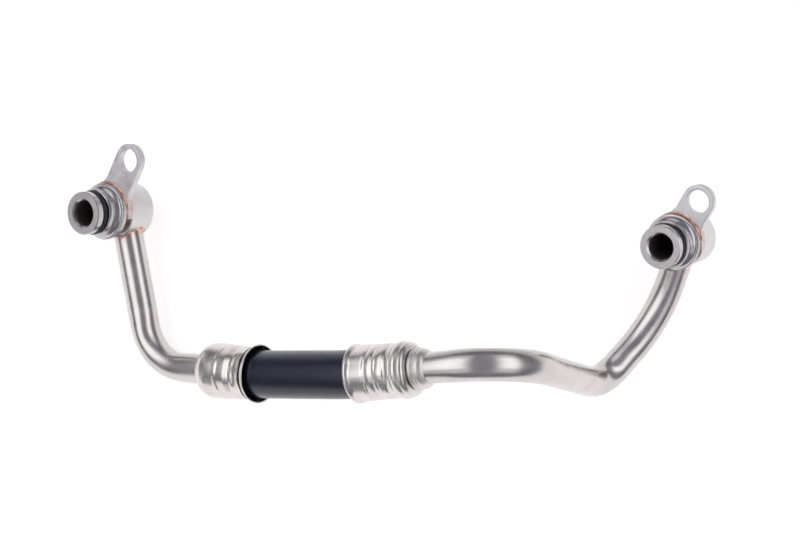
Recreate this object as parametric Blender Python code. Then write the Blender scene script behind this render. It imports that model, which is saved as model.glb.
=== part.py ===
"""Turbo oil feed line: two turned end fittings on bent steel tubes, joined by a short crimped hose.

The line lies on its back, as it comes to rest on a table: Z is up, X runs from one fitting to the other.
Every length is in metres. Distances called "station" are measured along the centreline of the line,
from the centre of the left fitting's head.
"""

from math import asin, atan2, ceil, cos, pi, radians, sin, sqrt, tan

import bmesh
import bpy
from mathutils import Matrix, Vector

MM = 0.001

# Clearances
FIT_GAP = 0.3 * MM  # between pieces that are brazed, crimped or pushed together
BOOLEAN_REACH = 3.0 * MM  # how far a cutter runs past the wall that it cuts

# Steel tube
TUBE_OD = 10.0 * MM
TUBE_WALL = 1.2 * MM
LEFT_BEND_R = 16.6 * MM
HOSE_BEND_R = 110.0 * MM
FRONT_BEND_R = 20.8 * MM
RIGHT_BEND_R = 12.6 * MM
ARM_BEND_R = 44.0 * MM

# Where the line goes: the corners of its centreline before rounding, and where the heads stand
LEFT_HEAD = Vector((-91.97, 24.74, 9.49)) * MM
RIGHT_HEAD = Vector((98.82, 13.04, 17.58)) * MM
HOSE_LEFT_CORNER = Vector((-40.51, -33.74, 30.42)) * MM
HOSE_RIGHT_CORNER = Vector((-14.59, -35.21, 45.86)) * MM
FRONT_CORNER = Vector((39.99, -33.59, 76.65)) * MM
RIGHT_CORNER = Vector((70.40, -35.35, 6.14)) * MM
LEFT_ARM_L = 54.1 * MM
RIGHT_ARM_L = 30.6 * MM
LEFT_AIM = (-161.0, 53.9, -10.4)  # degrees: heading of the nose, its rise, turn of the arm about it
RIGHT_AIM = (-151.9, 54.8, -51.1)

# End fitting, turned from bar, from the nose back to the head
FACE_R = 7.0 * MM
NOSE_R = 7.25 * MM
NOSE_LAND_L = 2.4 * MM
NOSE_CHAMFER = 0.3 * MM
RING_GROOVE_W = 2.6 * MM
RING_SECTION = 1.9 * MM
RING_STANDS_PROUD = 0.2 * MM
REAR_LAND_R = 7.9 * MM
REAR_LAND_L = 2.8 * MM
REAR_LAND_EASE = 0.5 * MM
SHOULDER_R = 9.25 * MM
SHOULDER_L = 1.6 * MM
COLLAR_R = 9.55 * MM
COLLAR_L = 1.9 * MM
NECK_R = 6.6 * MM
HEAD_R = 9.1 * MM
HEAD_L = 11.2 * MM
HEAD_EDGE = 0.7 * MM
BORE_R = 4.35 * MM
BORE_MOUTH_R = 4.95 * MM
BORE_MOUTH_L = 0.6 * MM

# Flange plate, slid over the neck from one side
PLATE_T = 2.8 * MM
PLATE_SHOULDER_R = 9.9 * MM
PLATE_END = 2.6 * MM  # how far from the fitting's axis the plate stops
PLATE_FILLET_R = 8.0 * MM
EAR_R = 5.6 * MM
BOLT_HOLE_R = 3.9 * MM
LEFT_EAR_REACH = 20.1 * MM
RIGHT_EAR_REACH = 16.3 * MM
LEFT_EAR_ANGLE = 137.5  # degrees from the arm, about the nose
RIGHT_EAR_ANGLE = 168.5

# Brazed fillets
BRAZE_W = 0.8 * MM
PLATE_BRAZE_HALF_ANGLE = 72.0  # degrees each side of the ear

# Hose and the inserts inside its ends
HOSE_OD = 15.8 * MM
HOSE_ID = 10.6 * MM
LEFT_MOUTH_AT = 96.5 * MM  # stations of the ferrules' open ends
RIGHT_MOUTH_AT = 135.0 * MM
HOSE_SQUEEZE = 0.6 * MM  # how much the crimp presses the hose in
HOSE_END_SPACE = 3.4 * MM  # from the hose's end to the end of the ferrule
INSERT_BORE_R = 3.4 * MM
INSERT_COLLAR_R = 6.8 * MM
INSERT_COLLAR_L = 2.6 * MM
INSERT_NECK_L = 1.6 * MM
INSERT_TAIL_L = 18.0 * MM
INSERT_SOCKET_DEPTH = 1.8 * MM
BARB_PITCH = 4.0 * MM
BARB_H = 0.5 * MM

# Crimped ferrules
FERRULE_L = 22.6 * MM
FERRULE_WALL = 0.8 * MM
FERRULE_MOUTH_R = 9.7 * MM
FERRULE_BAND_R = 9.15 * MM
FERRULE_NECK_R = 8.65 * MM
FERRULE_RING_R = 9.2 * MM
FERRULE_LIP_R = 7.2 * MM
FERRULE_DOME_L = 4.0 * MM
FERRULE_DOME_LIP_R = 6.0 * MM
CRIMP_FLATS = 8
CRIMP_DEPTH = 0.35 * MM

# Facets round each kind of piece
FITTING_SIDES = 32
TUBE_SIDES = 20
HOSE_SIDES = 24
FERRULE_SIDES = 32
INSERT_SIDES = 20
RING_SIDES = 28
SMOOTH_BELOW = radians(40)

# Sizes that follow from the ones above
TUBE_R = TUBE_OD / 2
TUBE_BORE_R = TUBE_R - TUBE_WALL
HOSE_R = HOSE_OD / 2
HOSE_BORE_R = HOSE_ID / 2
NECK_L = PLATE_T + 2 * FIT_GAP
INSERT_R = HOSE_BORE_R - FIT_GAP
NOSE_L = NECK_L + COLLAR_L + SHOULDER_L + REAR_LAND_L + RING_GROOVE_W + NOSE_LAND_L


def material(name, color, roughness, metallic):
    made = bpy.data.materials.new(name)
    made.use_nodes = True
    shader = made.node_tree.nodes["Principled BSDF"]
    shader.inputs["Base Color"].default_value = (*color, 1)
    shader.inputs["Roughness"].default_value = roughness
    shader.inputs["Metallic"].default_value = metallic
    made.diffuse_color = (*color, 1)
    return made


def finish(name, bm, look, parent=None):
    """An object from a bmesh, shaded smooth between its edges."""
    bmesh.ops.remove_doubles(bm, verts=bm.verts, dist=1e-7)
    bmesh.ops.recalc_face_normals(bm, faces=bm.faces)
    mesh = bpy.data.meshes.new(name)
    bm.to_mesh(mesh)
    bm.free()
    mesh.shade_smooth()
    mesh.set_sharp_from_angle(angle=SMOOTH_BELOW)
    mesh.materials.append(look)
    made = bpy.data.objects.new(name, mesh)
    bpy.context.scene.collection.objects.link(made)
    made.parent = parent
    return made


def turned(name, profile, sides, look, parent=None):
    """A closed outline of (radius, height) points, spun about local Z."""
    bm = bmesh.new()
    verts = [bm.verts.new((radius, 0, height)) for radius, height in profile]
    pairs = zip(verts, verts[1:] + verts[:1])
    edges = [bm.edges.new(pair) for pair in pairs if pair[0].co.x + pair[1].co.x > 0]
    bmesh.ops.spin(
        bm,
        geom=verts + edges,
        cent=(0, 0, 0),
        axis=(0, 0, 1),
        angle=2 * pi,
        steps=sides,
        use_merge=True,
    )
    return finish(name, bm, look, parent)


def ring_of_points(centre, side, up, radius_at, sides):
    points = []
    for k in range(sides):
        angle = 2 * pi * k / sides
        points.append(centre + radius_at(angle) * (cos(angle) * side + sin(angle) * up))
    return points


def skin(name, loops, look, parent=None):
    """A closed tube of faces through loops of points, its last loop joined to its first."""
    bm = bmesh.new()
    rings = [[bm.verts.new(point) for point in loop] for loop in loops]
    for one, two in zip(rings, rings[1:] + rings[:1]):
        for k in range(len(one)):
            after = (k + 1) % len(one)
            bm.faces.new((one[k], one[after], two[after], two[k]))
    return finish(name, bm, look, parent)


def cut(target, cutter):
    """Subtracts a cutter, which stays in the file as a hidden helper."""
    cutter.hide_render = True
    cutter.display_type = "WIRE"
    boolean = target.modifiers.new("cut_" + cutter.name, "BOOLEAN")
    boolean.operation = "DIFFERENCE"
    boolean.solver = "EXACT"
    boolean.object = cutter


def cylinder(name, radius, low, high, sides, look, parent):
    profile = [(0, low), (0, high), (radius, high), (radius, low)]
    return turned(name, profile, sides, look, parent)


# The centreline

def aim_matrix(centre, aim):
    """A fitting's frame: local Z points out of the nose and local X along the tube's arm."""
    heading, rise, turn = (radians(angle) for angle in aim)
    spin = Matrix.Rotation(heading + pi / 2, 4, "Z")
    tip = Matrix.Rotation(pi / 2 - rise, 4, "X")
    roll = Matrix.Rotation(turn, 4, "Z")
    return Matrix.Translation(centre) @ spin @ tip @ roll


def rounded(before, corner, after, radius):
    """Points along the arc that rounds a corner."""
    back = (before - corner).normalized()
    ahead = (after - corner).normalized()
    half = back.angle(ahead) / 2
    turn = pi - 2 * half
    start = corner + back * radius / tan(half)
    centre = corner + (back + ahead).normalized() * radius / sin(half)
    out = (start - centre).normalized()
    steps = max(3, ceil(turn / radians(13)))
    return [
        centre + radius * (cos(turn * k / steps) * out - sin(turn * k / steps) * back)
        for k in range(steps + 1)
    ]


class Centreline:
    """The whole line's route: straight runs with rounded corners, measured by station."""

    def __init__(self, corners, radii):
        self.points = [corners[0]]
        for k, radius in enumerate(radii, start=1):
            arc = rounded(corners[k - 1], corners[k], corners[k + 1], radius)
            self.points += arc
        self.points.append(corners[-1])
        self.stations = [0.0]
        for a, b in zip(self.points, self.points[1:]):
            self.stations.append(self.stations[-1] + (b - a).length)
        self.length = self.stations[-1]

    def at(self, station):
        """The point and the direction of travel at a station."""
        for k in range(len(self.points) - 1):
            if station <= self.stations[k + 1] or k == len(self.points) - 2:
                run = self.points[k + 1] - self.points[k]
                share = (station - self.stations[k]) / run.length
                return self.points[k] + run * share, run.normalized()

    def through(self, start, end, extra=()):
        """The stations that a piece needs: its own and the corners between its ends."""
        inner = [s for s in self.stations if start < s < end]
        wanted = sorted({start, end, *inner, *(s for s in extra if start < s < end)})
        kept = [wanted[0]]
        for s in wanted[1:]:
            if s - kept[-1] > 0.05 * MM:
                kept.append(s)
        kept[-1] = end
        return kept

    def loops(self, stations, radius_at, sides):
        """Rings of points round the route that don't twist, radius_at(station, angle) wide."""
        side = None
        made = []
        for s in stations:
            centre, ahead = self.at(s)
            if s in self.stations:
                k = self.stations.index(s)
                if 0 < k < len(self.points) - 1:
                    ahead = (self.points[k + 1] - self.points[k - 1]).normalized()
            start = side if side else Vector((0, 0, 1)).cross(ahead)
            side = (start - ahead * start.dot(ahead)).normalized()
            up = ahead.cross(side)
            made.append(ring_of_points(centre, side, up, lambda a: radius_at(s, a), sides))
        return made


def hollow(name, line, outer, inner, sides, look):
    """A hollow piece along the route, from lists of (station, radius) for its outside and its bore."""

    def piecewise(rows):
        def radius_at(station, _angle):
            for (s0, r0), (s1, r1) in zip(rows, rows[1:]):
                if station <= s1:
                    share = (station - s0) / (s1 - s0) if s1 > s0 else 0
                    return r0 + (r1 - r0) * min(max(share, 0), 1)
            return rows[-1][1]

        return radius_at

    def run(rows):
        places = line.through(rows[0][0], rows[-1][0], [s for s, _ in rows])
        return line.loops(places, piecewise(rows), sides)

    return skin(name, run(outer) + run(inner)[::-1], look)


# The pieces

def fitting_body(side, look, frame):
    """The turned fitting: nose, seal groove, lands, collar, neck and cross-bored head."""
    head = HEAD_L / 2
    neck = head + NECK_L
    collar = neck + COLLAR_L
    shoulder = collar + SHOULDER_L
    rear_land = shoulder + REAR_LAND_L
    groove = rear_land + RING_GROOVE_W
    face = groove + NOSE_LAND_L
    ring_seat_r = NOSE_R + RING_STANDS_PROUD - RING_SECTION - FIT_GAP
    profile = [
        (0, -BORE_R),
        (BORE_R, 0),
        (BORE_R, face - BORE_MOUTH_L),
        (BORE_MOUTH_R, face),
        (FACE_R, face),
        (NOSE_R, face - NOSE_CHAMFER),
        (NOSE_R, groove),
        (ring_seat_r, groove),
        (ring_seat_r, rear_land),
        (REAR_LAND_R - REAR_LAND_EASE, rear_land),
        (REAR_LAND_R, rear_land - REAR_LAND_EASE),
        (REAR_LAND_R, shoulder),
        (SHOULDER_R, collar),
        (COLLAR_R, collar - COLLAR_L / 4),
        (COLLAR_R, neck),
        (NECK_R, neck),
        (NECK_R, head),
        (HEAD_R - HEAD_EDGE / 2, head),
        (HEAD_R, head - HEAD_EDGE / 2),
        (HEAD_R, -head + HEAD_EDGE),
        (HEAD_R - HEAD_EDGE, -head),
        (0, -head),
    ]
    body = turned(side + "_fitting", profile, FITTING_SIDES, look, frame)
    port_end = HEAD_R + BOOLEAN_REACH
    port = cylinder(side + "_port_cutter", TUBE_BORE_R, 0, port_end, TUBE_SIDES, look, frame)
    port.rotation_euler = (0, pi / 2, 0)
    cut(body, port)
    return body


def seal_ring(side, look, frame):
    """The rubber ring in the nose's groove."""
    across = RING_SECTION / 2
    middle_r = NOSE_R + RING_STANDS_PROUD - across
    height = HEAD_L / 2 + NOSE_L - NOSE_LAND_L - RING_GROOVE_W / 2
    profile = [
        (middle_r + across * cos(pi * k / 5), height + across * sin(pi * k / 5)) for k in range(10)
    ]
    return turned(side + "_seal_ring", profile, RING_SIDES, look, frame)


def plate_outline(reach):
    """One half of the flange plate, from its notch to the tip of its ear, as (along, across)."""
    notch_r = NECK_R + FIT_GAP
    hollow_across = EAR_R + PLATE_FILLET_R
    hollow_along = sqrt((PLATE_SHOULDER_R + PLATE_FILLET_R) ** 2 - hollow_across**2)
    points = []
    notch_end = asin(PLATE_END / notch_r)
    for k in range(6):
        angle = pi / 2 - (pi / 2 - notch_end) * k / 6
        points.append((notch_r * sin(angle), notch_r * cos(angle)))
    points.append((PLATE_END, notch_r * cos(notch_end)))
    shoulder_end = atan2(hollow_along, hollow_across)
    shoulder_start = asin(PLATE_END / PLATE_SHOULDER_R)
    for k in range(5):
        angle = shoulder_start + (shoulder_end - shoulder_start) * k / 4
        points.append((PLATE_SHOULDER_R * sin(angle), PLATE_SHOULDER_R * cos(angle)))
    for k in range(1, 5):
        angle = shoulder_end * (1 - k / 4)
        along = hollow_along - PLATE_FILLET_R * sin(angle)
        across = hollow_across - PLATE_FILLET_R * cos(angle)
        points.append((along, across))
    for k in range(9):
        angle = pi / 2 * k / 8
        points.append((reach + EAR_R * sin(angle), EAR_R * cos(angle)))
    return points


def flange_plate(side, reach, angle, look, frame):
    """The pear-shaped plate: notched over the neck, with the bolt hole in its ear."""
    low = HEAD_L / 2 + FIT_GAP
    half = plate_outline(reach)
    outline = half + [(along, -across) for along, across in half[-2:0:-1]]
    turn = Matrix.Rotation(radians(angle), 4, "Z")
    bm = bmesh.new()
    face = bm.faces.new([bm.verts.new((along, across, low)) for along, across in outline])
    raised = bmesh.ops.extrude_face_region(bm, geom=[face])["geom"]
    top = [v for v in raised if isinstance(v, bmesh.types.BMVert)]
    bmesh.ops.translate(bm, vec=(0, 0, PLATE_T), verts=top)
    bmesh.ops.transform(bm, matrix=turn, verts=bm.verts)
    plate = finish(side + "_flange_plate", bm, look, frame)
    cutter = cylinder(
        side + "_bolt_cutter",
        BOLT_HOLE_R,
        low - BOOLEAN_REACH,
        low + PLATE_T + BOOLEAN_REACH,
        FITTING_SIDES,
        look,
        frame,
    )
    cutter.location = turn @ Vector((reach, 0, 0))
    cut(plate, cutter)
    return plate


def plate_braze(side, angle, look, frame):
    """The brazed fillet on the plate's face, round the ear's side of the collar."""
    seat = HEAD_L / 2 + FIT_GAP + PLATE_T + FIT_GAP
    inner = COLLAR_R + FIT_GAP
    section = [(inner, seat), (inner + BRAZE_W, seat), (inner, seat + BRAZE_W)]
    steps = 18
    bm = bmesh.new()
    rings = []
    for k in range(steps + 1):
        turn = radians(angle + PLATE_BRAZE_HALF_ANGLE * (2 * k / steps - 1))
        rings.append([bm.verts.new((r * cos(turn), r * sin(turn), z)) for r, z in section])
    for one, two in zip(rings, rings[1:]):
        for j in range(3):
            bm.faces.new((one[j], one[(j + 1) % 3], two[(j + 1) % 3], two[j]))
    bm.faces.new(rings[0])
    bm.faces.new(rings[-1][::-1])
    return finish(side + "_plate_braze", bm, look, frame)


def tube_braze(side, look, frame):
    """The brazed fillet where the tube's end is saddled on the round head."""
    head = HEAD_R + FIT_GAP
    inner = TUBE_R + FIT_GAP
    outer = inner + BRAZE_W
    loops = []
    for rise, radius in ((0, inner), (0, outer), (BRAZE_W, inner)):
        loop = []
        for k in range(FITTING_SIDES):
            angle = 2 * pi * k / FITTING_SIDES
            across = radius * sin(angle)
            loop.append((sqrt(head**2 - across**2) + rise, across, radius * cos(angle)))
        loops.append(loop)
    return skin(side + "_tube_braze", loops, look, frame)


def tube(side, line, start, end, look, frame):
    """A bent steel tube, its outer end cut to a saddle that sits on the fitting's head."""
    outer = [(start, TUBE_R), (end, TUBE_R)]
    inner = [(start, TUBE_BORE_R), (end, TUBE_BORE_R)]
    made = hollow(side + "_tube", line, outer, inner, TUBE_SIDES, look)
    reach = HEAD_L / 2 + BOOLEAN_REACH
    name = side + "_saddle_cutter"
    saddle = cylinder(name, HEAD_R + FIT_GAP, -reach, reach, FITTING_SIDES * 2, look, frame)
    cut(made, saddle)
    return made


def insert(side, line, ferrule_end, toward_hose, collar_outside, look):
    """The barbed insert inside the hose, with its stop collar; returns its socket's last station."""
    if collar_outside:
        collar_face = ferrule_end - toward_hose * FIT_GAP
        neck = ferrule_end + toward_hose * (FERRULE_WALL + FIT_GAP)
    else:
        inside = FERRULE_WALL + 2 * FIT_GAP
        collar_face = ferrule_end + toward_hose * (inside + INSERT_COLLAR_L)
        neck = collar_face + toward_hose * INSERT_NECK_L
    collar_back = collar_face - toward_hose * INSERT_COLLAR_L
    tail_end = neck + toward_hose * INSERT_TAIL_L
    socket_r = TUBE_R + FIT_GAP
    socket_end = collar_back + toward_hose * INSERT_SOCKET_DEPTH
    outer = [
        (collar_back, INSERT_COLLAR_R),
        (collar_face, INSERT_COLLAR_R),
        (collar_face, INSERT_R),
        (neck, INSERT_R),
    ]
    barbs = int((INSERT_TAIL_L - BARB_PITCH) / BARB_PITCH)
    for k in range(barbs):
        foot = neck + toward_hose * BARB_PITCH * (k + 0.5)
        outer.append((foot, INSERT_R))
        outer.append((foot, INSERT_R - BARB_H))
        outer.append((foot + toward_hose * BARB_PITCH * 0.8, INSERT_R))
    outer.append((tail_end - toward_hose * BARB_H, INSERT_R))
    outer.append((tail_end, INSERT_R - BARB_H))
    inner = [
        (collar_back, socket_r),
        (socket_end, socket_r),
        (socket_end, INSERT_BORE_R),
        (tail_end, INSERT_BORE_R),
    ]
    straight_hollow(side + "_insert", line, outer, inner, INSERT_SIDES, look)
    return socket_end


def straight_hollow(name, line, outer, inner, sides, look, crimp=None):
    """A hollow piece on a straight run, whose rows may step in radius at one station."""
    reference = (outer[0][0] + outer[-1][0]) / 2
    origin, ahead = line.at(reference)
    side_axis = Vector((0, 0, 1)).cross(ahead).normalized()
    up = ahead.cross(side_axis)
    loops = []
    for rows, is_outside in ((outer, True), (inner[::-1], False)):
        for station, radius in rows:
            centre = origin + ahead * (station - reference)
            pressed = crimp if crimp and is_outside else lambda _station, _angle: 0

            def radius_at(angle):
                return radius - pressed(station, angle)

            loops.append(ring_of_points(centre, side_axis, up, radius_at, sides))
    return skin(name, loops, look)


def ringed_end():
    """The right ferrule's closed end: a neck, two rings and a rolled lip, as (back, radius)."""
    return [
        (6.0 * MM, FERRULE_NECK_R),
        (4.6 * MM, FERRULE_RING_R - 0.15 * MM),
        (3.8 * MM, FERRULE_RING_R),
        (3.0 * MM, FERRULE_RING_R - 0.1 * MM),
        (2.5 * MM, FERRULE_RING_R - 0.4 * MM),
        (1.8 * MM, FERRULE_RING_R - 0.4 * MM),
        (1.0 * MM, (FERRULE_RING_R + FERRULE_LIP_R) / 2),
        (0.3 * MM, FERRULE_LIP_R),
        (0.0, FERRULE_LIP_R - 0.4 * MM),
    ]


def domed_end():
    """The left ferrule's closed end, drawn in over a quarter of an oval."""
    steps = 5
    height = FERRULE_BAND_R - FERRULE_DOME_LIP_R
    return [
        (
            FERRULE_DOME_L * (1 - sin(pi / 2 * k / steps)),
            FERRULE_DOME_LIP_R + height * cos(pi / 2 * k / steps),
        )
        for k in range(steps + 1)
    ]


def ferrule(side, line, mouth, away, end_hole_r, closed_end, look):
    """The crimped shell: flared mouth, bands of flats and a closed end."""
    rows = [
        (0.0, FERRULE_MOUTH_R),
        (0.9, FERRULE_MOUTH_R),
        (1.6, FERRULE_BAND_R),
        (2.6, FERRULE_BAND_R),
        (7.6, FERRULE_BAND_R),
        (8.4, FERRULE_NECK_R),
        (9.4, FERRULE_BAND_R),
        (11.0, FERRULE_BAND_R),
        (11.8, FERRULE_NECK_R),
        (12.6, FERRULE_BAND_R),
        (15.6, FERRULE_BAND_R),
    ]
    outer = [(mouth + away * at * MM, radius) for at, radius in rows]
    end = mouth + away * FERRULE_L
    outer += [(end - away * back, radius) for back, radius in closed_end]
    wall_r = HOSE_R - HOSE_SQUEEZE + FIT_GAP
    inner = [
        (mouth, FERRULE_MOUTH_R - FERRULE_WALL),
        (mouth + away * 1.2 * MM, wall_r),
        (end - away * (FERRULE_WALL + 1.4 * MM), wall_r),
        (end - away * FERRULE_WALL, INSERT_COLLAR_R + FIT_GAP - 0.4 * MM),
        (end - away * FERRULE_WALL, end_hole_r),
        (end, end_hole_r),
    ]
    bands = ((1.6, 7.6), (9.4, 11.0), (12.6, 15.6))

    def crimp(station, angle):
        along = abs(station - mouth) / MM
        for k, (low, high) in enumerate(bands):
            if low + 0.5 < along < high + 0.2:
                return CRIMP_DEPTH * (1 + cos(CRIMP_FLATS * angle + k * pi)) / 2
        return 0.0

    return straight_hollow(side + "_ferrule", line, outer, inner, FERRULE_SIDES, look, crimp)


def hose(line, look):
    """The rubber hose: full size between the ferrules, pressed in under them."""
    left_end = LEFT_MOUTH_AT - FERRULE_L + HOSE_END_SPACE + INSERT_COLLAR_L + INSERT_NECK_L
    right_end = RIGHT_MOUTH_AT + FERRULE_L - HOSE_END_SPACE
    pressed = HOSE_R - HOSE_SQUEEZE
    outer = [
        (left_end, pressed),
        (LEFT_MOUTH_AT - 1.4 * MM, pressed),
        (LEFT_MOUTH_AT + 0.4 * MM, HOSE_R),
        (RIGHT_MOUTH_AT - 0.4 * MM, HOSE_R),
        (RIGHT_MOUTH_AT + 1.4 * MM, pressed),
        (right_end, pressed),
    ]
    inner = [(left_end, HOSE_BORE_R), (right_end, HOSE_BORE_R)]
    return hollow("hose", line, outer, inner, HOSE_SIDES, look)


def frame_at(name, matrix):
    """An empty that carries one fitting's pieces."""
    made = bpy.data.objects.new(name, None)
    bpy.context.scene.collection.objects.link(made)
    made.matrix_world = matrix
    return made


def clear_scene():
    for old in list(bpy.data.objects):
        bpy.data.objects.remove(old)


def build():
    clear_scene()
    machined = material("machined_steel", (0.42, 0.42, 0.43), 0.38, 1.0)
    plate_steel = material("plate_steel", (0.58, 0.57, 0.57), 0.42, 1.0)
    tube_steel = material("stainless_tube", (0.62, 0.60, 0.59), 0.24, 1.0)
    crimp_steel = material("ferrule_steel", (0.66, 0.64, 0.63), 0.2, 1.0)
    copper = material("braze_copper", (0.72, 0.44, 0.34), 0.4, 1.0)
    rubber = material("hose_rubber", (0.035, 0.037, 0.05), 0.5, 0.0)
    seal_rubber = material("seal_rubber", (0.02, 0.02, 0.022), 0.55, 0.0)

    left_matrix = aim_matrix(LEFT_HEAD, LEFT_AIM)
    right_matrix = aim_matrix(RIGHT_HEAD, RIGHT_AIM)
    left_corner = left_matrix @ Vector((LEFT_ARM_L, 0, 0))
    arm_corner = right_matrix @ Vector((RIGHT_ARM_L, 0, 0))
    corners = [
        LEFT_HEAD,
        left_corner,
        HOSE_LEFT_CORNER,
        HOSE_RIGHT_CORNER,
        FRONT_CORNER,
        RIGHT_CORNER,
        arm_corner,
        RIGHT_HEAD,
    ]
    radii = [LEFT_BEND_R, HOSE_BEND_R, HOSE_BEND_R, FRONT_BEND_R, RIGHT_BEND_R, ARM_BEND_R]
    line = Centreline(corners, radii)

    frames = {}
    for side, matrix, reach, angle in (
        ("left", left_matrix, LEFT_EAR_REACH, LEFT_EAR_ANGLE),
        ("right", right_matrix, RIGHT_EAR_REACH, RIGHT_EAR_ANGLE),
    ):
        frames[side] = frame_at(side + "_frame", matrix)
        fitting_body(side, machined, frames[side])
        seal_ring(side, seal_rubber, frames[side])
        flange_plate(side, reach, angle, plate_steel, frames[side])
        plate_braze(side, angle, copper, frames[side])
        tube_braze(side, copper, frames[side])

    left_end = LEFT_MOUTH_AT - FERRULE_L
    right_end = RIGHT_MOUTH_AT + FERRULE_L
    ferrule("left", line, LEFT_MOUTH_AT, -1, TUBE_R + FIT_GAP, domed_end(), crimp_steel)
    ferrule("right", line, RIGHT_MOUTH_AT, 1, INSERT_R + FIT_GAP, ringed_end(), crimp_steel)
    left_socket = insert("left", line, left_end, 1, False, machined)
    right_socket = insert("right", line, right_end, -1, True, machined)
    hose(line, rubber)
    head_side = HEAD_R / 2
    tube("left", line, head_side, left_socket - FIT_GAP, tube_steel, frames["left"])
    right_start = right_socket + FIT_GAP
    tube("right", line, right_start, line.length - head_side, tube_steel, frames["right"])


build()
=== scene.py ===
"""Turbo oil feed line: the finished pieces, their materials, the light and the camera.

It is laid out as an add-on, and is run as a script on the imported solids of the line.
Sizes are in metres. A "station" is a distance along the line's centreline from the left fitting's head.
"""

from math import asin, atan2, ceil, cos, pi, radians, sin, sqrt, tan

import bmesh
import bpy
from bpy.props import FloatProperty, FloatVectorProperty, PointerProperty
from mathutils import Matrix, Vector


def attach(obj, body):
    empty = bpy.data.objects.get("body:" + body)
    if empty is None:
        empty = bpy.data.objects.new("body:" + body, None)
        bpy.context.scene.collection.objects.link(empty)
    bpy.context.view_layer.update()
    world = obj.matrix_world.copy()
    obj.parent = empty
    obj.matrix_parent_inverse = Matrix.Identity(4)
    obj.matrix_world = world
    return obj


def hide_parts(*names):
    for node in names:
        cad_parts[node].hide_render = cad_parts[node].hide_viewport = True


bl_info = {
    "name": "Turbo oil feed line",
    "version": (1, 0, 0),
    "blender": (4, 5, 0),
    "location": "View3D > Sidebar > Feed line",
    "description": "Builds a turbo oil feed line from sizes and finishes",
    "category": "Add Mesh",
}

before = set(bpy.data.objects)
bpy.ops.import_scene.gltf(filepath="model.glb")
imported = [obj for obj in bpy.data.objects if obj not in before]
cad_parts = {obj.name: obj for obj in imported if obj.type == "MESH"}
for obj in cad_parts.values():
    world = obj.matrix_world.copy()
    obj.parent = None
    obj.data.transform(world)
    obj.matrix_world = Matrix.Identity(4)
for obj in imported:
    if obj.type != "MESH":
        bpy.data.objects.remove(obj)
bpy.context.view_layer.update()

MM = 0.001
SHARP_ABOVE = radians(32)
LOCAL = "local"
BRAZED = "brazed"
ROW = "row"
# The attribute of the bores' and the mouths' inner walls, which are painted dark as painted shade.
PAINTED_SHADE_INSIDE = "inside"


# Sizes and finishes


def size(name, description, millimetres):
    return FloatProperty(
        name=name,
        description=description,
        default=millimetres * MM,
        min=0.0,
        precision=5,
        unit="LENGTH",
    )


def tint(name, description, color):
    return FloatVectorProperty(name=name, description=description, default=color, size=3, subtype="COLOR")


class FeedLineSizes(bpy.types.PropertyGroup):
    tube_od: size("Tube diameter", "Outside diameter of the steel tubes", 10.0)
    hose_od: size("Hose diameter", "Outside diameter of the rubber hose", 15.8)
    left_mouth: size("Left mouth", "Station of the left ferrule's open end", 96.5)
    right_mouth: size("Right mouth", "Station of the right ferrule's open end", 135.0)
    ferrule_length: size("Ferrule length", "Length of a crimped ferrule", 22.6)
    head_radius: size("Head radius", "Radius of a fitting's round head", 9.1)
    head_length: size("Head length", "Length of a fitting's round head", 11.2)
    collar_radius: size("Collar radius", "Radius of the collar in front of the flange plate", 9.55)
    nose_radius: size("Nose radius", "Radius of the land in front of the seal ring", 7.25)
    bore_radius: size("Bore radius", "Radius of the bore in a fitting's nose", 4.35)
    plate_thickness: size("Plate thickness", "Thickness of a flange plate", 2.8)
    ear_radius: size("Ear radius", "Radius of a flange plate's ear", 5.6)
    bolt_hole: size("Bolt hole", "Radius of the hole in a flange plate", 3.9)


class FeedLineFinishes(bpy.types.PropertyGroup):
    tube: tint("Tube steel", "Colour of the bent tubes", (0.62, 0.60, 0.595))
    ferrule: tint("Ferrule steel", "Colour of the crimped ferrules", (0.70, 0.675, 0.665))
    turned: tint("Turned steel", "Colour of the fittings", (0.50, 0.495, 0.505))
    plate: tint("Plate steel", "Colour of the flange plates", (0.73, 0.725, 0.745))
    copper: tint("Braze", "Colour of the brazing metal", (0.68, 0.44, 0.355))
    hose: tint("Hose rubber", "Colour of the hose", (0.0025, 0.0032, 0.0095))
    seal: tint("Seal rubber", "Colour of the seal rings", (0.012, 0.012, 0.013))
    floor: tint("Table", "Colour of the table under the line", (0.93, 0.92, 0.91))


def sizes():
    return bpy.context.scene.feed_line_sizes


def finishes():
    return bpy.context.scene.feed_line_finishes


# Materials


class Wire:
    """A node's output, which makes maths nodes as it is used in sums."""

    def __init__(self, surface, socket):
        self.surface = surface
        self.socket = socket

    def maths(self, operation, *others):
        values = [self, *others]
        return self.surface.node("ShaderNodeMath", dict(enumerate(values)), operation=operation)

    def __add__(self, other):
        return self.maths("ADD", other)

    def __radd__(self, other):
        return self.maths("ADD", other)

    def __sub__(self, other):
        return self.maths("SUBTRACT", other)

    def __rsub__(self, other):
        return (self * -1.0) + other

    def __mul__(self, other):
        return self.maths("MULTIPLY", other)

    def __rmul__(self, other):
        return self.maths("MULTIPLY", other)

    def __truediv__(self, other):
        return self.maths("DIVIDE", other)

    def sine(self):
        return self.maths("SINE")

    def clamped(self):
        return self.surface.node("ShaderNodeClamp", {"Value": self})


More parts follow.
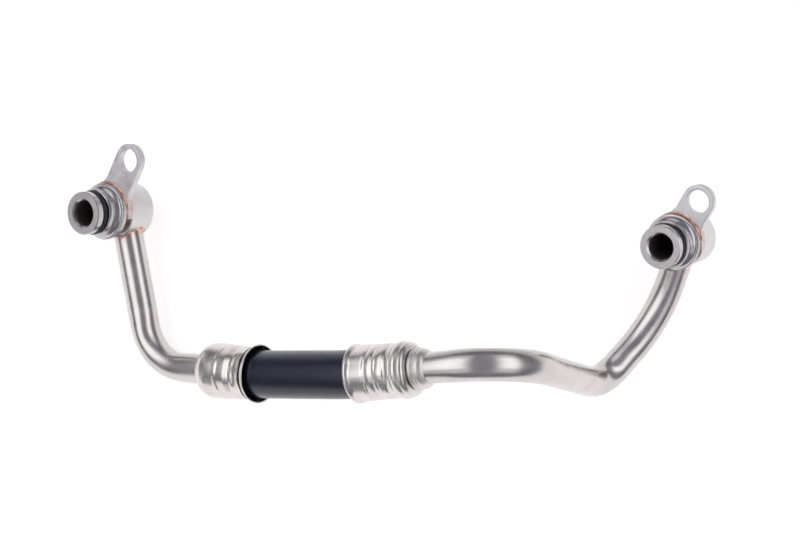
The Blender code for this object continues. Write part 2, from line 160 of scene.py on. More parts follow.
class Surface:
    """One material's node tree: its shader, and short ways to feed it."""

    def __init__(self, name, color, roughness, metallic):
        self.material = bpy.data.materials.new(name)
        self.material.use_nodes = True
        self.material.diffuse_color = (*color, 1)
        self.tree = self.material.node_tree
        self.shader = self.tree.nodes["Principled BSDF"]
        self.shader.inputs["Base Color"].default_value = (*color, 1)
        self.shader.inputs["Roughness"].default_value = roughness
        self.shader.inputs["Metallic"].default_value = metallic

    def put(self, socket, value):
        if isinstance(value, Wire):
            self.tree.links.new(value.socket, socket)
        elif isinstance(value, (tuple, list)) and len(value) == 3 and socket.type == "RGBA":
            socket.default_value = (*value, 1)
        else:
            socket.default_value = value

    def node(self, kind, inputs=None, output=0, **settings):
        made = self.tree.nodes.new(kind)
        for name, value in settings.items():
            setattr(made, name, value)
        for name, value in (inputs or {}).items():
            self.put(made.inputs[name], value)
        return Wire(self, made.outputs[output])

    def feed(self, name, value):
        self.put(self.shader.inputs[name], value)

    def attribute(self, name, output="Vector"):
        return self.node("ShaderNodeAttribute", output=output, attribute_name=name)

    def stretched(self, vector, scale):
        return self.node("ShaderNodeMapping", {"Vector": vector, "Scale": scale})

    def noise(self, vector, scale, detail=3.0):
        return self.node("ShaderNodeTexNoise", {"Vector": vector, "Scale": scale, "Detail": detail})

    def split(self, vector, axis):
        return self.node("ShaderNodeSeparateXYZ", {"Vector": vector}, output=axis)

    def fade(self, value, low, high, start=0.0, end=1.0):
        return self.node(
            "ShaderNodeMapRange",
            {"Value": value, "From Min": low, "From Max": high, "To Min": start, "To Max": end},
            interpolation_type="SMOOTHSTEP",
        )

    def blend(self, share, one, two):
        """Mixes two colours. A Mix node's colour sockets share their names, so they go by place."""
        return self.node("ShaderNodeMix", {0: share, 6: one, 7: two}, output=2, data_type="RGBA")

    def bump(self, height, depth):
        self.feed("Normal", self.node("ShaderNodeBump", {"Height": height, "Distance": depth}))


def shade(color, factor):
    return tuple(min(1.0, channel * factor) for channel in color)


def drawn_tube():
    """Stainless tube: drawn lengthwise, faintly mottled, copper-washed near the joint."""
    color = tuple(finishes().tube)
    surface = Surface("drawn_tube", color, 0.24, 1.0)
    local = surface.attribute(LOCAL)
    mottle = surface.noise(local, 160.0, 3.0)
    lines = surface.noise(surface.stretched(local, (1.0, 1.0, 0.035)), 2400.0, 2.0)
    copper = surface.attribute(BRAZED, "Fac") * surface.fade(surface.noise(local, 420.0), 0.42, 0.62)
    steel = surface.blend(surface.fade(mottle, 0.3, 0.7), shade(color, 0.93), shade(color, 1.06))
    surface.feed("Base Color", surface.blend(copper, steel, tuple(finishes().copper)))
    surface.feed("Roughness", surface.fade(mottle, 0.25, 0.75, 0.20, 0.27) + lines * 0.03)
    surface.bump(lines * 0.5 + mottle * 0.6, 0.000008)
    return surface.material


def crimped_shell():
    """Ferrule steel: bright and dragged by the crimping jaws, with its mouth's inside painted near-black as
    painted shade.
    """
    color = tuple(finishes().ferrule)
    surface = Surface("crimped_shell", color, 0.25, 1.0)
    local = surface.attribute(LOCAL)
    mottle = surface.noise(local, 220.0, 3.0)
    drag = surface.noise(surface.stretched(local, (1.0, 1.0, 0.12)), 1500.0, 2.0)
    steel = surface.blend(surface.fade(mottle, 0.3, 0.7), shade(color, 0.92), shade(color, 1.07))
    # The mouth's inside is painted near-black and not metallic, as painted shade in the gap round the hose.
    inside = surface.attribute(PAINTED_SHADE_INSIDE, "Fac")
    surface.feed("Base Color", surface.blend(inside, steel, (0.008, 0.008, 0.009)))
    surface.feed("Metallic", 1.0 - inside)
    surface.feed("Roughness", surface.fade(mottle, 0.3, 0.75, 0.21, 0.29) + drag * 0.04 + inside * 0.4)
    surface.bump(mottle * 0.8 + drag * 0.3, 0.00002)
    return surface.material


def insert_steel():
    """The inserts' steel: turned, then dulled by plating."""
    color = tuple(finishes().ferrule)
    surface = Surface("insert_steel", color, 0.4, 1.0)
    local = surface.attribute(LOCAL)
    rings = surface.noise(surface.stretched(local, (0.04, 0.04, 1.0)), 3600.0, 2.0)
    mottle = surface.noise(local, 260.0, 3.0)
    surface.feed(
        "Base Color",
        surface.blend(surface.fade(mottle, 0.3, 0.7), color, shade(color, 1.15)),
    )
    surface.feed("Roughness", surface.fade(mottle, 0.3, 0.7, 0.36, 0.46))
    surface.bump(rings, 0.00002)
    return surface.material


def turned_steel():
    """Fitting steel: a satin head, polished lands, a matte face, a bore painted near-black as painted
    shade, and a copper wash.
    """
    color = tuple(finishes().turned)
    head, *_, face = fitting_heights()
    surface = Surface("turned_steel", color, 0.36, 1.0)
    local = surface.attribute(LOCAL)
    height = surface.split(local, 2)
    mottle = surface.noise(local, 260.0, 3.0)
    rings = surface.noise(surface.stretched(local, (0.04, 0.04, 1.0)), 5200.0, 2.0)
    copper = surface.attribute(BRAZED, "Fac") * surface.fade(surface.noise(local, 300.0, 2.0), 0.44, 0.68)
    speckle = surface.fade(surface.noise(local, 2600.0, 3.0), 0.3, 0.7)
    on_lands = surface.fade(height, head - 0.2 * MM, head + 0.2 * MM)
    on_face = surface.fade(height, face - 0.12 * MM, face - 0.02 * MM)
    plain = surface.blend(surface.fade(mottle, 0.3, 0.7), shade(color, 0.90), shade(color, 1.08))
    pale = surface.blend(on_lands, shade(color, 1.4), plain)
    steel = surface.blend(on_face, pale, surface.blend(speckle, shade(color, 1.0), shade(color, 1.28)))
    washed = surface.blend(copper, steel, tuple(finishes().copper))
    # The bore's walls are painted near-black and not metallic, as painted shade in the recess.
    inside = surface.attribute(PAINTED_SHADE_INSIDE, "Fac")
    surface.feed("Base Color", surface.blend(inside, washed, (0.06, 0.05, 0.047)))
    surface.feed("Metallic", 1.0 - inside)
    worn = surface.fade(mottle, 0.25, 0.75, 0.34, 0.42)
    surface.feed("Roughness", worn - on_lands * 0.18 + on_face * 0.24 + inside * 0.4 + rings * 0.04)
    surface.bump(rings * 0.7 + mottle * 0.5 + speckle * on_face, 0.000012)
    return surface.material


def blanked_plate():
    """Plate steel: rolled grain, faintly mottled, copper-washed round the collar."""
    color = tuple(finishes().plate)
    surface = Surface("blanked_plate", color, 0.38, 1.0)
    local = surface.attribute(LOCAL)
    grain = surface.noise(surface.stretched(local, (0.12, 1.0, 1.0)), 1800.0, 2.0)
    mottle = surface.noise(local, 330.0, 4.0)
    off_x, off_y = surface.split(local, 0), surface.split(local, 1)
    near = surface.fade(off_x * off_x + off_y * off_y, (9.9 * MM) ** 2, (10.9 * MM) ** 2, 0.7, 0.0)
    copper = near * surface.fade(surface.noise(local, 380.0), 0.36, 0.58)
    steel = surface.blend(surface.fade(mottle, 0.3, 0.7), shade(color, 0.90), shade(color, 1.08))
    surface.feed("Base Color", surface.blend(copper, steel, tuple(finishes().copper)))
    surface.feed("Roughness", surface.fade(mottle, 0.25, 0.75, 0.44, 0.54))
    surface.bump(grain * 0.5 + mottle, 0.00001)
    return surface.material


def braze_metal():
    """Copper braze: run and frozen, tarnished in patches."""
    color = tuple(finishes().copper)
    surface = Surface("braze_metal", color, 0.36, 1.0)
    local = surface.attribute(LOCAL)
    patches = surface.noise(local, 520.0, 4.0)
    surface.feed(
        "Base Color",
        surface.blend(surface.fade(patches, 0.35, 0.68), shade(color, 1.15), shade(color, 0.62)),
    )
    surface.feed("Roughness", surface.fade(patches, 0.3, 0.7, 0.30, 0.48))
    surface.bump(surface.noise(local, 900.0, 3.0), 0.00006)
    return surface.material


def hose_cover():
    """Hose rubber: smooth cover with the braid under it showing as faint bumps."""
    color = tuple(finishes().hose)
    surface = Surface("hose_cover", color, 0.38, 0.0)
    surface.feed("Specular Tint", (0.66, 0.72, 1.0))
    surface.feed("Coat Weight", 0.5)
    surface.feed("Coat Roughness", 0.22)
    surface.feed("Coat Tint", (0.9, 0.93, 1.0))
    local = surface.attribute(LOCAL)
    across = surface.split(local, 1).maths("ARCTAN2", surface.split(local, 0))
    along = surface.split(local, 2)
    one = (across * 30.0 + along * 3900.0).sine()
    two = (across * 30.0 - along * 3900.0).sine()
    braid = one * two
    mottle = surface.noise(local, 500.0, 4.0)
    surface.feed(
        "Base Color",
        surface.blend(surface.fade(mottle, 0.3, 0.7), shade(color, 0.85), shade(color, 1.2)),
    )
    surface.feed("Roughness", surface.fade(mottle, 0.3, 0.7, 0.30, 0.37))
    surface.bump(braid * 0.5 + mottle * 0.2, 0.00002)
    return surface.material


def seal_rubber():
    """Seal ring rubber: matte black with a fine dusty bloom."""
    color = tuple(finishes().seal)
    surface = Surface("seal_ring_rubber", color, 0.5, 0.0)
    bloom = surface.noise(surface.attribute(LOCAL), 700.0, 4.0)
    surface.feed(
        "Base Color",
        surface.blend(surface.fade(bloom, 0.45, 0.75), color, shade(color, 2.2)),
    )
    surface.feed("Roughness", surface.fade(bloom, 0.3, 0.7, 0.42, 0.6))
    surface.bump(bloom, 0.00002)
    return surface.material


def named(maker):
    """A material that is made once and then shared."""
    key = maker.__name__
    if key not in MADE:
        MADE[key] = maker()
    return MADE[key]


MADE = {}


# The route of the line


LEFT_HEAD = Vector((-91.97, 24.74, 9.49)) * MM
RIGHT_HEAD = Vector((98.82, 13.04, 17.58)) * MM
HOSE_LEFT_CORNER = Vector((-40.51, -33.74, 30.42)) * MM
HOSE_RIGHT_CORNER = Vector((-14.59, -35.21, 45.86)) * MM
FRONT_CORNER = Vector((39.99, -33.59, 76.65)) * MM
RIGHT_CORNER = Vector((70.40, -35.35, 6.14)) * MM
ARM_LENGTH = {"left": 54.1 * MM, "right": 30.6 * MM}
AIM = {"left": (-161.0, 53.9, -10.4), "right": (-151.9, 54.8, -51.1)}
EAR_REACH = {"left": 20.1 * MM, "right": 16.3 * MM}
EAR_ANGLE = {"left": 137.5, "right": 168.5}
BEND_RADII = [16.6 * MM, 110.0 * MM, 110.0 * MM, 20.8 * MM, 12.6 * MM, 44.0 * MM]
BEND_SQUEEZE = [0.08, 0.0, 0.0, 0.09, 0.08, 0.02]
FIT_GAP = 0.3 * MM


def aim_matrix(centre, aim):
    """A fitting's frame: local Z points out of the nose and local X along the tube's arm."""
    heading, rise, turn = (radians(angle) for angle in aim)
    spin = Matrix.Rotation(heading + pi / 2, 4, "Z")
    tip = Matrix.Rotation(pi / 2 - rise, 4, "X")
    return Matrix.Translation(centre) @ spin @ tip @ Matrix.Rotation(turn, 4, "Z")


PLACE = {"left": aim_matrix(LEFT_HEAD, AIM["left"]), "right": aim_matrix(RIGHT_HEAD, AIM["right"])}


class Centreline:
    """Straight runs with rounded corners, and a frame at each station that never twists."""

    def __init__(self, corners, radii, step):
        self.points = [corners[0]]
        self.arcs = []
        for k, radius in enumerate(radii, start=1):
            self.add_arc(corners[k - 1], corners[k], corners[k + 1], radius, step)
        self.points.append(corners[-1])
        self.stations = [0.0]
        for a, b in zip(self.points, self.points[1:]):
            self.stations.append(self.stations[-1] + (b - a).length)
        self.length = self.stations[-1]
        self.sides = self.carry_sides()

    def add_arc(self, before, corner, after, radius, step):
        back = (before - corner).normalized()
        ahead = (after - corner).normalized()
        half = back.angle(ahead) / 2
        turn = pi - 2 * half
        start = corner + back * radius / tan(half)
        centre = corner + (back + ahead).normalized() * radius / sin(half)
        out = (start - centre).normalized()
        steps = max(3, ceil(turn / step))
        first = len(self.points)
        for k in range(steps + 1):
            angle = turn * k / steps
            self.points.append(centre + radius * (cos(angle) * out - sin(angle) * back))
        self.arcs.append((first, len(self.points) - 1, back.cross(ahead).normalized()))

    def heading(self, k):
        before = self.points[max(k - 1, 0)]
        after = self.points[min(k + 1, len(self.points) - 1)]
        return (after - before).normalized()

    def carry_sides(self):
        side = Vector((0, 0, 1)).cross(self.heading(0)).normalized()
        carried = []
        for k in range(len(self.points)):
            ahead = self.heading(k)
            side = (side - ahead * side.dot(ahead)).normalized()
            carried.append(side)
        return carried

    def segment(self, station):
        last = len(self.points) - 2
        return next((k for k in range(last) if station <= self.stations[k + 1]), last)

    def frame(self, station):
        k = self.segment(station)
        a, b = self.points[k], self.points[k + 1]
        share = (station - self.stations[k]) / (b - a).length
        within = min(max(share, 0.0), 1.0)
        ahead = self.heading(k).lerp(self.heading(k + 1), within).normalized()
        side = self.sides[k].lerp(self.sides[k + 1], within)
        side = (side - ahead * side.dot(ahead)).normalized()
        columns = Matrix((side, ahead.cross(side), ahead)).transposed()
        return Matrix.Translation(a + (b - a) * share) @ columns.to_4x4()

    def squeeze(self, station):
        """How a bend flattens the tube at a station: narrower in the bend's plane."""
        shape = Matrix.Identity(4)
        for (first, last, normal), amount in zip(self.arcs, BEND_SQUEEZE):
            low, high = self.stations[first], self.stations[last]
            margin = 6 * MM
            share = min((station - low + margin) / (2 * margin), (high + margin - station) / (2 * margin))
            share = min(max(share, 0.0), 1.0)
            weight = amount * share * share * (3 - 2 * share)
            if weight:
                k = self.segment(station)
                inward = normal.cross(self.heading(k)).normalized()
                flat = Matrix.Scale(1 - weight, 4, inward)
                shape = flat @ Matrix.Scale(1 + weight * 0.6, 4, normal) @ shape
        return shape


def feed_route():
    left_corner = PLACE["left"] @ Vector((ARM_LENGTH["left"], 0, 0))
    arm_corner = PLACE["right"] @ Vector((ARM_LENGTH["right"], 0, 0))
    corners = [
        LEFT_HEAD,
        left_corner,
        HOSE_LEFT_CORNER,
        HOSE_RIGHT_CORNER,
        FRONT_CORNER,
        RIGHT_CORNER,
        arm_corner,
        RIGHT_HEAD,
    ]
    return Centreline(corners, BEND_RADII, radians(3))


ROUTE = feed_route()


def mouths():
    return sizes().left_mouth, sizes().right_mouth


# Mesh making


def finish_piece(name, bm, look, nodes, smooth=SHARP_ABOVE):
    """The object of a finished bmesh, riding on the line in place of its plain solids."""
    bmesh.ops.remove_doubles(bm, verts=bm.verts, dist=1e-6)
    bmesh.ops.recalc_face_normals(bm, faces=bm.faces)
    mesh = bpy.data.meshes.new(name)
    bm.to_mesh(mesh)
    bm.free()
    mesh.shade_smooth()
    mesh.set_sharp_from_angle(angle=smooth)
    mesh.materials.append(look)
    piece = bpy.data.objects.new(name, mesh)
    bpy.context.scene.collection.objects.link(piece)
    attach(piece, "root")
    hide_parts(*nodes)
    return piece


def steady_normals(piece):
    weighted = piece.modifiers.new("steady_normals", "WEIGHTED_NORMAL")
    weighted.keep_sharp = True
    weighted.weight = 80


def keep_local(bm):
    """Stores where each point is before the piece is placed, for the materials."""
    layer = bm.verts.layers.float_vector.new(LOCAL)
    for v in bm.verts:
        v[layer] = v.co.copy()


def spread_braze(bm, closeness):
    """Stores how near each point is to a brazed joint, from 0 to 1."""
    layer = bm.verts.layers.float.new(BRAZED)
    for v in bm.verts:
        v[layer] = min(max(closeness(v.co), 0.0), 1.0)


def spun(profile, sides):
    """A bmesh of (radius, height) points spun a full turn about local Z."""
    bm = bmesh.new()
    verts = [bm.verts.new((radius, 0, height)) for radius, height in profile]
    pairs = zip(verts, verts[1:] + verts[:1])
    edges = [bm.edges.new(pair) for pair in pairs if pair[0].co.x + pair[1].co.x > 0]
    bmesh.ops.spin(
        bm,
        geom=verts + edges,
        cent=(0, 0, 0),
        axis=(0, 0, 1),
        angle=2 * pi,
        steps=sides,
        use_merge=True,
    )
    bmesh.ops.remove_doubles(bm, verts=bm.verts, dist=1e-6)
    bmesh.ops.recalc_face_normals(bm, faces=bm.faces)
    return bm


def ease_edges(bm, offset, segments, above=radians(30)):
    """Rounds every edge that is sharper than an angle."""
    sharp = [edge for edge in bm.edges if edge.is_manifold and edge.calc_face_angle() > above]
    bmesh.ops.bevel(
        bm,
        geom=sharp,
        offset=offset,
        offset_type="OFFSET",
        segments=segments,
        profile=0.5,
        affect="EDGES",
        material=-1,
        clamp_overlap=True,
    )


def swept(rows, sides, frame_at, flatten=None):
    """A bmesh of a disc that is drawn out through (station, radius) rows."""
    bm = bmesh.new()
    local = bm.verts.layers.float_vector.new(LOCAL)
    row = bm.verts.layers.int.new(ROW)
    nominal = max(radius for _, radius in rows)

    def matrix_at(station, radius):
        placed = frame_at(station) @ Matrix.Diagonal((radius, radius, 1, 1))
        if not flatten:
            return placed
        centre = placed.to_translation()
        around = Matrix.Translation(centre) @ flatten(station) @ Matrix.Translation(-centre)
        return around @ placed

    made = bmesh.ops.create_circle(bm, cap_ends=True, segments=sides, radius=1.0)
    for v in made["verts"]:
        v[local] = (v.co.x * nominal, v.co.y * nominal, rows[0][0])
    before = matrix_at(*rows[0])
    bmesh.ops.transform(bm, matrix=before, verts=bm.verts)
    face = bm.faces[:][0]
    for count, (station, radius) in enumerate(rows[1:], start=1):
        grown = bmesh.ops.extrude_face_region(bm, geom=[face])["geom"]
        if count > 1:
            bmesh.ops.delete(bm, geom=[face], context="FACES_ONLY")
        face = next(item for item in grown if isinstance(item, bmesh.types.BMFace))
        after = matrix_at(station, radius)
        ring = list(face.verts)
        bmesh.ops.transform(bm, matrix=after @ before.inverted(), verts=ring)
        for v in ring:
            v[local] = (v[local].x, v[local].y, station)
            v[row] = count
        before = after
    return bm


def even_rows(radius, low, high, step):
    """The rows of a straight-sided piece, cut into short lengths so that it can bend."""
    count = max(1, ceil((high - low) / step))
    return [(low + (high - low) * k / count, radius) for k in range(count + 1)]


def along_curve(points, step):
    """Points (at, radius) joined by a smooth curve through them, one every step or so."""
    made = []
    for k in range(len(points) - 1):
        p0 = points[max(k - 1, 0)]
        p1, p2 = points[k], points[k + 1]
        p3 = points[min(k + 2, len(points) - 1)]
        count = max(2, ceil(abs(p2[0] - p1[0]) / step))
        for j in range(count):
            t = j / count
            at = p1[0] + (p2[0] - p1[0]) * t
            rise = (p2[1] - p0[1]) / 2, (p3[1] - p1[1]) / 2
            h = 2 * t**3 - 3 * t**2 + 1, t**3 - 2 * t**2 + t, -2 * t**3 + 3 * t**2, t**3 - t**2
            made.append((at, h[0] * p1[1] + h[1] * rise[0] * 0.6 + h[2] * p2[1] + h[3] * rise[1] * 0.6))
    made.append(points[-1])
    return made


# Pieces


def fitting_heights():
    """How far each shoulder of a fitting stands from the middle of its head."""
    head = sizes().head_length / 2
    neck = head + sizes().plate_thickness + 2 * FIT_GAP
    collar = neck + 1.9 * MM
    shoulder = collar + 1.6 * MM
    rear_land = shoulder + 2.8 * MM
    groove = rear_land + 2.6 * MM
    return head, neck, collar, shoulder, rear_land, groove, groove + 2.4 * MM


def fitting_profile():
    head, neck, collar, shoulder, rear_land, groove, face = fitting_heights()
    s = sizes()
    seat = s.nose_radius - 2.0 * MM
    return [
        (0, -s.bore_radius),
        (s.bore_radius, 0),
        (s.bore_radius, face - 2.0 * MM),
        (s.bore_radius, face - 0.6 * MM),
        (s.bore_radius + 0.6 * MM, face),
        (s.nose_radius - 0.25 * MM, face),
        (s.nose_radius, face - 0.3 * MM),
        (s.nose_radius, groove),
        (seat, groove),
        (seat, rear_land),
        (7.4 * MM, rear_land),
        (7.75 * MM, rear_land - 0.25 * MM),
        (7.9 * MM, rear_land - 0.7 * MM),
        (7.9 * MM, rear_land - 1.7 * MM),
        (7.75 * MM, shoulder + 0.6 * MM),
        (7.55 * MM, shoulder + 0.3 * MM),
        (7.7 * MM, shoulder + 0.1 * MM),
        (8.3 * MM, shoulder - 0.25 * MM),
        (8.8 * MM, shoulder - 0.65 * MM),
        (9.12 * MM, shoulder - 1.1 * MM),
        (9.2 * MM, collar + 0.15 * MM),
        (9.0 * MM, collar),
        (9.0 * MM, collar - 0.15 * MM),
        (9.4 * MM, collar - 0.25 * MM),
        (s.collar_radius, collar - 0.5 * MM),
        (s.collar_radius, neck),
        (6.6 * MM, neck),
        (6.6 * MM, head),
        (s.head_radius - 0.35 * MM, head),
        (s.head_radius, head - 0.35 * MM),
        *[(s.head_radius, k * 1.2 * MM) for k in range(4, -4, -1)],
        (s.head_radius, -head + 0.7 * MM),
        (s.head_radius - 0.7 * MM, -head),
        (0, -head),
    ]


COPPER_WASH = {"left": 1.0, "right": 0.3}
COPPER_SMEAR_TOWARDS = Vector((1, -0.35, 0))


def make_fitting(side):
    """A turned fitting with eased edges and a copper wash at its joints."""
    head, neck, *_, face = fitting_heights()
    bm = spun(fitting_profile(), 96)
    ease_edges(bm, 0.10 * MM, 2, radians(50))

    s = sizes()
    wash = COPPER_WASH[side]
    smear = (PLACE[side].to_3x3().inverted() @ COPPER_SMEAR_TOWARDS).xy.normalized()

    def closeness(co):
        at_plate = 0.8 - abs(co.z - neck) / (0.5 * MM)
        facing = max(0.0, co.xy.normalized().dot(smear)) ** 6 if co.xy.length else 0.0
        at_head = (0.85 - abs(co.z - head) / (2.0 * MM)) * facing
        reach = sqrt(co.y**2 + co.z**2)
        at_tube = 0.9 - abs(reach - 5.4 * MM) / (1.6 * MM) if co.x > 0 else 0.0
        return max(at_plate, at_head * wash, at_tube * wash)

    keep_local(bm)
    spread_braze(bm, closeness)
    # Marks the bore's walls, which the material paints dark as painted shade.
    painted_shade_layer = bm.verts.layers.float.new(PAINTED_SHADE_INSIDE)
    for v in bm.verts:
        if v.co.z < face - 0.8 * MM and v.co.xy.length < s.bore_radius + 0.05 * MM:
            v[painted_shade_layer] = 1.0
    bmesh.ops.transform(bm, matrix=PLACE[side], verts=bm.verts)
    steel = named(turned_steel)
    piece = finish_piece(side + "_end_fitting", bm, steel, [side + "_fitting"])
    steady_normals(piece)


def make_seal(side):
    """A round rubber ring in the nose's groove."""
    *_, groove, _ = fitting_heights()
    across = 0.95 * MM
    middle = sizes().nose_radius + 0.2 * MM - across
    height = groove - 1.3 * MM
    rows = [
        (middle + across * cos(2 * pi * k / 20), height + across * sin(2 * pi * k / 20)) for k in range(20)
    ]
    bm = spun(rows, 96)
    keep_local(bm)
    bmesh.ops.transform(bm, matrix=PLACE[side], verts=bm.verts)
    finish_piece(side + "_ring", bm, named(seal_rubber), [side + "_seal_ring"], pi)


def plate_half(reach):
    """Half of a flange plate's outline, from its notch to the tip of its ear."""
    ear = sizes().ear_radius
    notch, end, shoulder, fillet = 6.9 * MM, 2.6 * MM, 9.9 * MM, 8.0 * MM
    across = ear + fillet
    along = sqrt((shoulder + fillet) ** 2 - across**2)
    points = []
    notch_end = asin(end / notch)
    for k in range(17):
        angle = pi / 2 - (pi / 2 - notch_end) * k / 16
        points.append((notch * sin(angle), notch * cos(angle)))
    low, high = asin(end / shoulder), atan2(along, across)
    for k in range(13):
        angle = low + (high - low) * k / 12
        points.append((shoulder * sin(angle), shoulder * cos(angle)))
    for k in range(1, 13):
        angle = high * (1 - k / 12)
        points.append((along - fillet * sin(angle), across - fillet * cos(angle)))
    for k in range(25):
        angle = pi / 2 * k / 24
        points.append((reach + ear * sin(angle), ear * cos(angle)))
    return points


def loop_of(bm, points, height):
    verts = [bm.verts.new((x, y, height)) for x, y in points]
    return [bm.edges.new(pair) for pair in zip(verts, verts[1:] + verts[:1])]


def make_plate(side):
    """A blanked flange plate with its bolt hole, notched over the fitting's neck."""
    s = sizes()
    reach = EAR_REACH[side]
    low = s.head_length / 2 + FIT_GAP
    half = plate_half(reach)
    outline = half + [(along, -across) for along, across in half[-2:0:-1]]
    bm = bmesh.new()
    edges = loop_of(bm, outline, low)
    ring = [
        (reach + s.bolt_hole * cos(2 * pi * k / 64), s.bolt_hole * sin(2 * pi * k / 64)) for k in range(64)
    ]
    edges += loop_of(bm, ring, low)
    bmesh.ops.triangle_fill(bm, use_beauty=True, edges=edges)
    raised = bmesh.ops.extrude_face_region(bm, geom=bm.faces[:])["geom"]
    top = [item for item in raised if isinstance(item, bmesh.types.BMVert)]
    bmesh.ops.translate(bm, vec=(0, 0, s.plate_thickness), verts=top)
    bmesh.ops.recalc_face_normals(bm, faces=bm.faces)
    ease_edges(bm, 0.35 * MM, 3, radians(60))
    keep_local(bm)
    turn = Matrix.Rotation(radians(EAR_ANGLE[side]), 4, "Z")
    bmesh.ops.transform(bm, matrix=PLACE[side] @ turn, verts=bm.verts)
    piece = finish_piece(side + "_flange", bm, named(blanked_plate), [side + "_flange_plate"])
    steady_normals(piece)


COLLAR_FILLET_W = {"left": 0.75 * MM, "right": 0.9 * MM}
COLLAR_FILLET_SPREAD = {"left": 140, "right": 122}
FILLET_SINK = 0.2 * MM


def make_plate_braze(side):
    """A hollow fillet of braze on the plate, round the ear's side of the collar, with thin ends."""
    s = sizes()
    seat = s.head_length / 2 + FIT_GAP + s.plate_thickness
    inner = s.collar_radius - 0.1 * MM
    wide = COLLAR_FILLET_W[side]
    rows = [(inner, seat - FILLET_SINK), (inner + wide, seat - FILLET_SINK)]
    for k in range(9):
        angle = pi / 2 * k / 8
        rows.append((inner + wide - wide * sin(angle), seat + wide * (1 - cos(angle))))
    bm = bmesh.new()
    verts = [bm.verts.new((radius, 0, height)) for radius, height in rows]
    face = bm.faces.new(verts)
    spread = radians(COLLAR_FILLET_SPREAD[side])
    bmesh.ops.rotate(bm, cent=(0, 0, 0), matrix=Matrix.Rotation(-spread / 2, 3, "Z"), verts=bm.verts)
    bmesh.ops.spin(
        bm, geom=[face], cent=(0, 0, 0), axis=(0, 0, 1), angle=spread, steps=60, use_merge=False
    )
    for v in bm.verts:
        share = abs(atan2(v.co.y, v.co.x)) / (spread / 2)
        left = max(0.2, 1.0 - share**5)
        radius = v.co.xy.length
        v.co.xy *= (inner + (radius - inner) * left) / radius
        v.co.z = rows[0][1] + (v.co.z - rows[0][1]) * left
    keep_local(bm)
    turn = Matrix.Rotation(radians(EAR_ANGLE[side]), 4, "Z")
    bmesh.ops.transform(bm, matrix=PLACE[side] @ turn, verts=bm.verts)
    finish_piece(
        side + "_collar_fillet", bm, named(braze_metal), [side + "_plate_braze"]
    )


def make_tube_braze(side):
    """A hollow fillet of braze where the tube is saddled on the round head."""
    head, inner, wide = sizes().head_radius, sizes().tube_od / 2 - 0.1 * MM, 0.8 * MM
    bm = bmesh.new()
    made = bmesh.ops.create_circle(bm, cap_ends=False, segments=72, radius=inner + wide)
    ring = made["verts"]
    edges = bm.edges[:]
    bmesh.ops.rotate(bm, cent=(0, 0, 0), matrix=Matrix.Rotation(pi / 2, 3, "Y"), verts=ring)

    def saddle(verts, radius, rise):
        for v in verts:
            flat = Vector((0, v.co.y, v.co.z)).normalized() * radius
            v.co = (sqrt(head**2 - flat.y**2) + rise, flat.y, flat.z)

    saddle(ring, inner + wide, -FILLET_SINK)
    for k in range(8):
        angle = pi / 2 * k / 7
        grown = bmesh.ops.extrude_edge_only(bm, edges=edges)["geom"]
        edges = [item for item in grown if isinstance(item, bmesh.types.BMEdge)]
        verts = [item for item in grown if isinstance(item, bmesh.types.BMVert)]
        saddle(verts, inner + wide - wide * sin(angle), wide * (1 - cos(angle)))
    grown = bmesh.ops.extrude_edge_only(bm, edges=edges)["geom"]
    last = [item for item in grown if isinstance(item, bmesh.types.BMVert)]
    saddle(last, inner, -FILLET_SINK)
    open_edges = [edge for edge in bm.edges if edge.is_boundary]
    bmesh.ops.bridge_loops(bm, edges=open_edges)
    keep_local(bm)
    bmesh.ops.transform(bm, matrix=PLACE[side], verts=bm.verts)
    finish_piece(side + "_head_fillet", bm, named(braze_metal), [side + "_tube_braze"])


def make_tube(side):
    """A bent tube, narrower in the plane of each bend as real ones are."""
    left_mouth, right_mouth = mouths()
    radius = sizes().tube_od / 2
    length = sizes().ferrule_length
    head = sizes().head_radius * 0.75
    if side == "left":
        low, high = head, left_mouth - length + 2.0 * MM
    else:
        low, high = right_mouth + length - 0.5 * MM, ROUTE.length - head
    bm = swept(even_rows(radius, low, high, 1.2 * MM), 72, ROUTE.frame, ROUTE.squeeze)
    local = bm.verts.layers.float_vector[LOCAL]
    end = 0.0 if side == "left" else ROUTE.length
    layer = bm.verts.layers.float.new(BRAZED)
    for v in bm.verts:
        off = abs(v[local].z - end) - sizes().head_radius
        v[layer] = min(max(0.8 - off / (2.0 * MM), 0.0), 1.0)
    finish_piece(side + "_bent_tube", bm, named(drawn_tube), [side + "_tube"], radians(60))


def straight_frame(station):
    """Frames of the straight run that holds a station, for pieces that don't bend."""
    fixed = ROUTE.frame(station)

    def at(other):
        return fixed @ Matrix.Translation((0, 0, other - station))

    return at


FERRULE_SHAPE = {
    "right": [
        (0.0, 9.50),
        (0.35, 9.58),
        (0.75, 9.52),
        (1.15, 9.30),
        (1.6, 9.12),
        (3.0, 9.12),
        (6.0, 9.08),
        (6.8, 8.94),
        (7.5, 8.76),
        (8.1, 8.86),
        (8.8, 8.92),
        (9.5, 8.84),
        (10.2, 8.70),
        (11.0, 8.90),
        (12.4, 9.0),
        (13.7, 8.9),
        (14.4, 8.6),
        (15.2, 8.62),
        (16.1, 8.8),
        (16.5, 8.72),
        (16.9, 9.02),
        (17.7, 9.2),
        (18.5, 9.12),
        (18.95, 8.82),
        (19.15, 8.66),
        (19.5, 8.82),
        (20.1, 8.78),
        (20.7, 8.45),
        (21.1, 7.9),
        (21.35, 7.2),
        (21.4, 5.3),
    ],
    "left": [
        (0.0, 9.82),
        (0.3, 9.86),
        (0.8, 9.66),
        (1.5, 9.25),
        (2.4, 8.95),
        (4.4, 8.72),
        (6.6, 8.75),
        (7.8, 8.95),
        (9.0, 9.12),
        (11.0, 9.15),
        (13.4, 9.15),
        (15.2, 9.22),
        (17.0, 9.25),
        (18.6, 9.12),
        (19.9, 8.7),
        (20.9, 8.1),
        (21.6, 7.3),
        (21.9, 6.7),
        (22.05, 6.5),
        (22.25, 6.72),
        (22.5, 6.6),
        (22.6, 5.4),
    ],
}
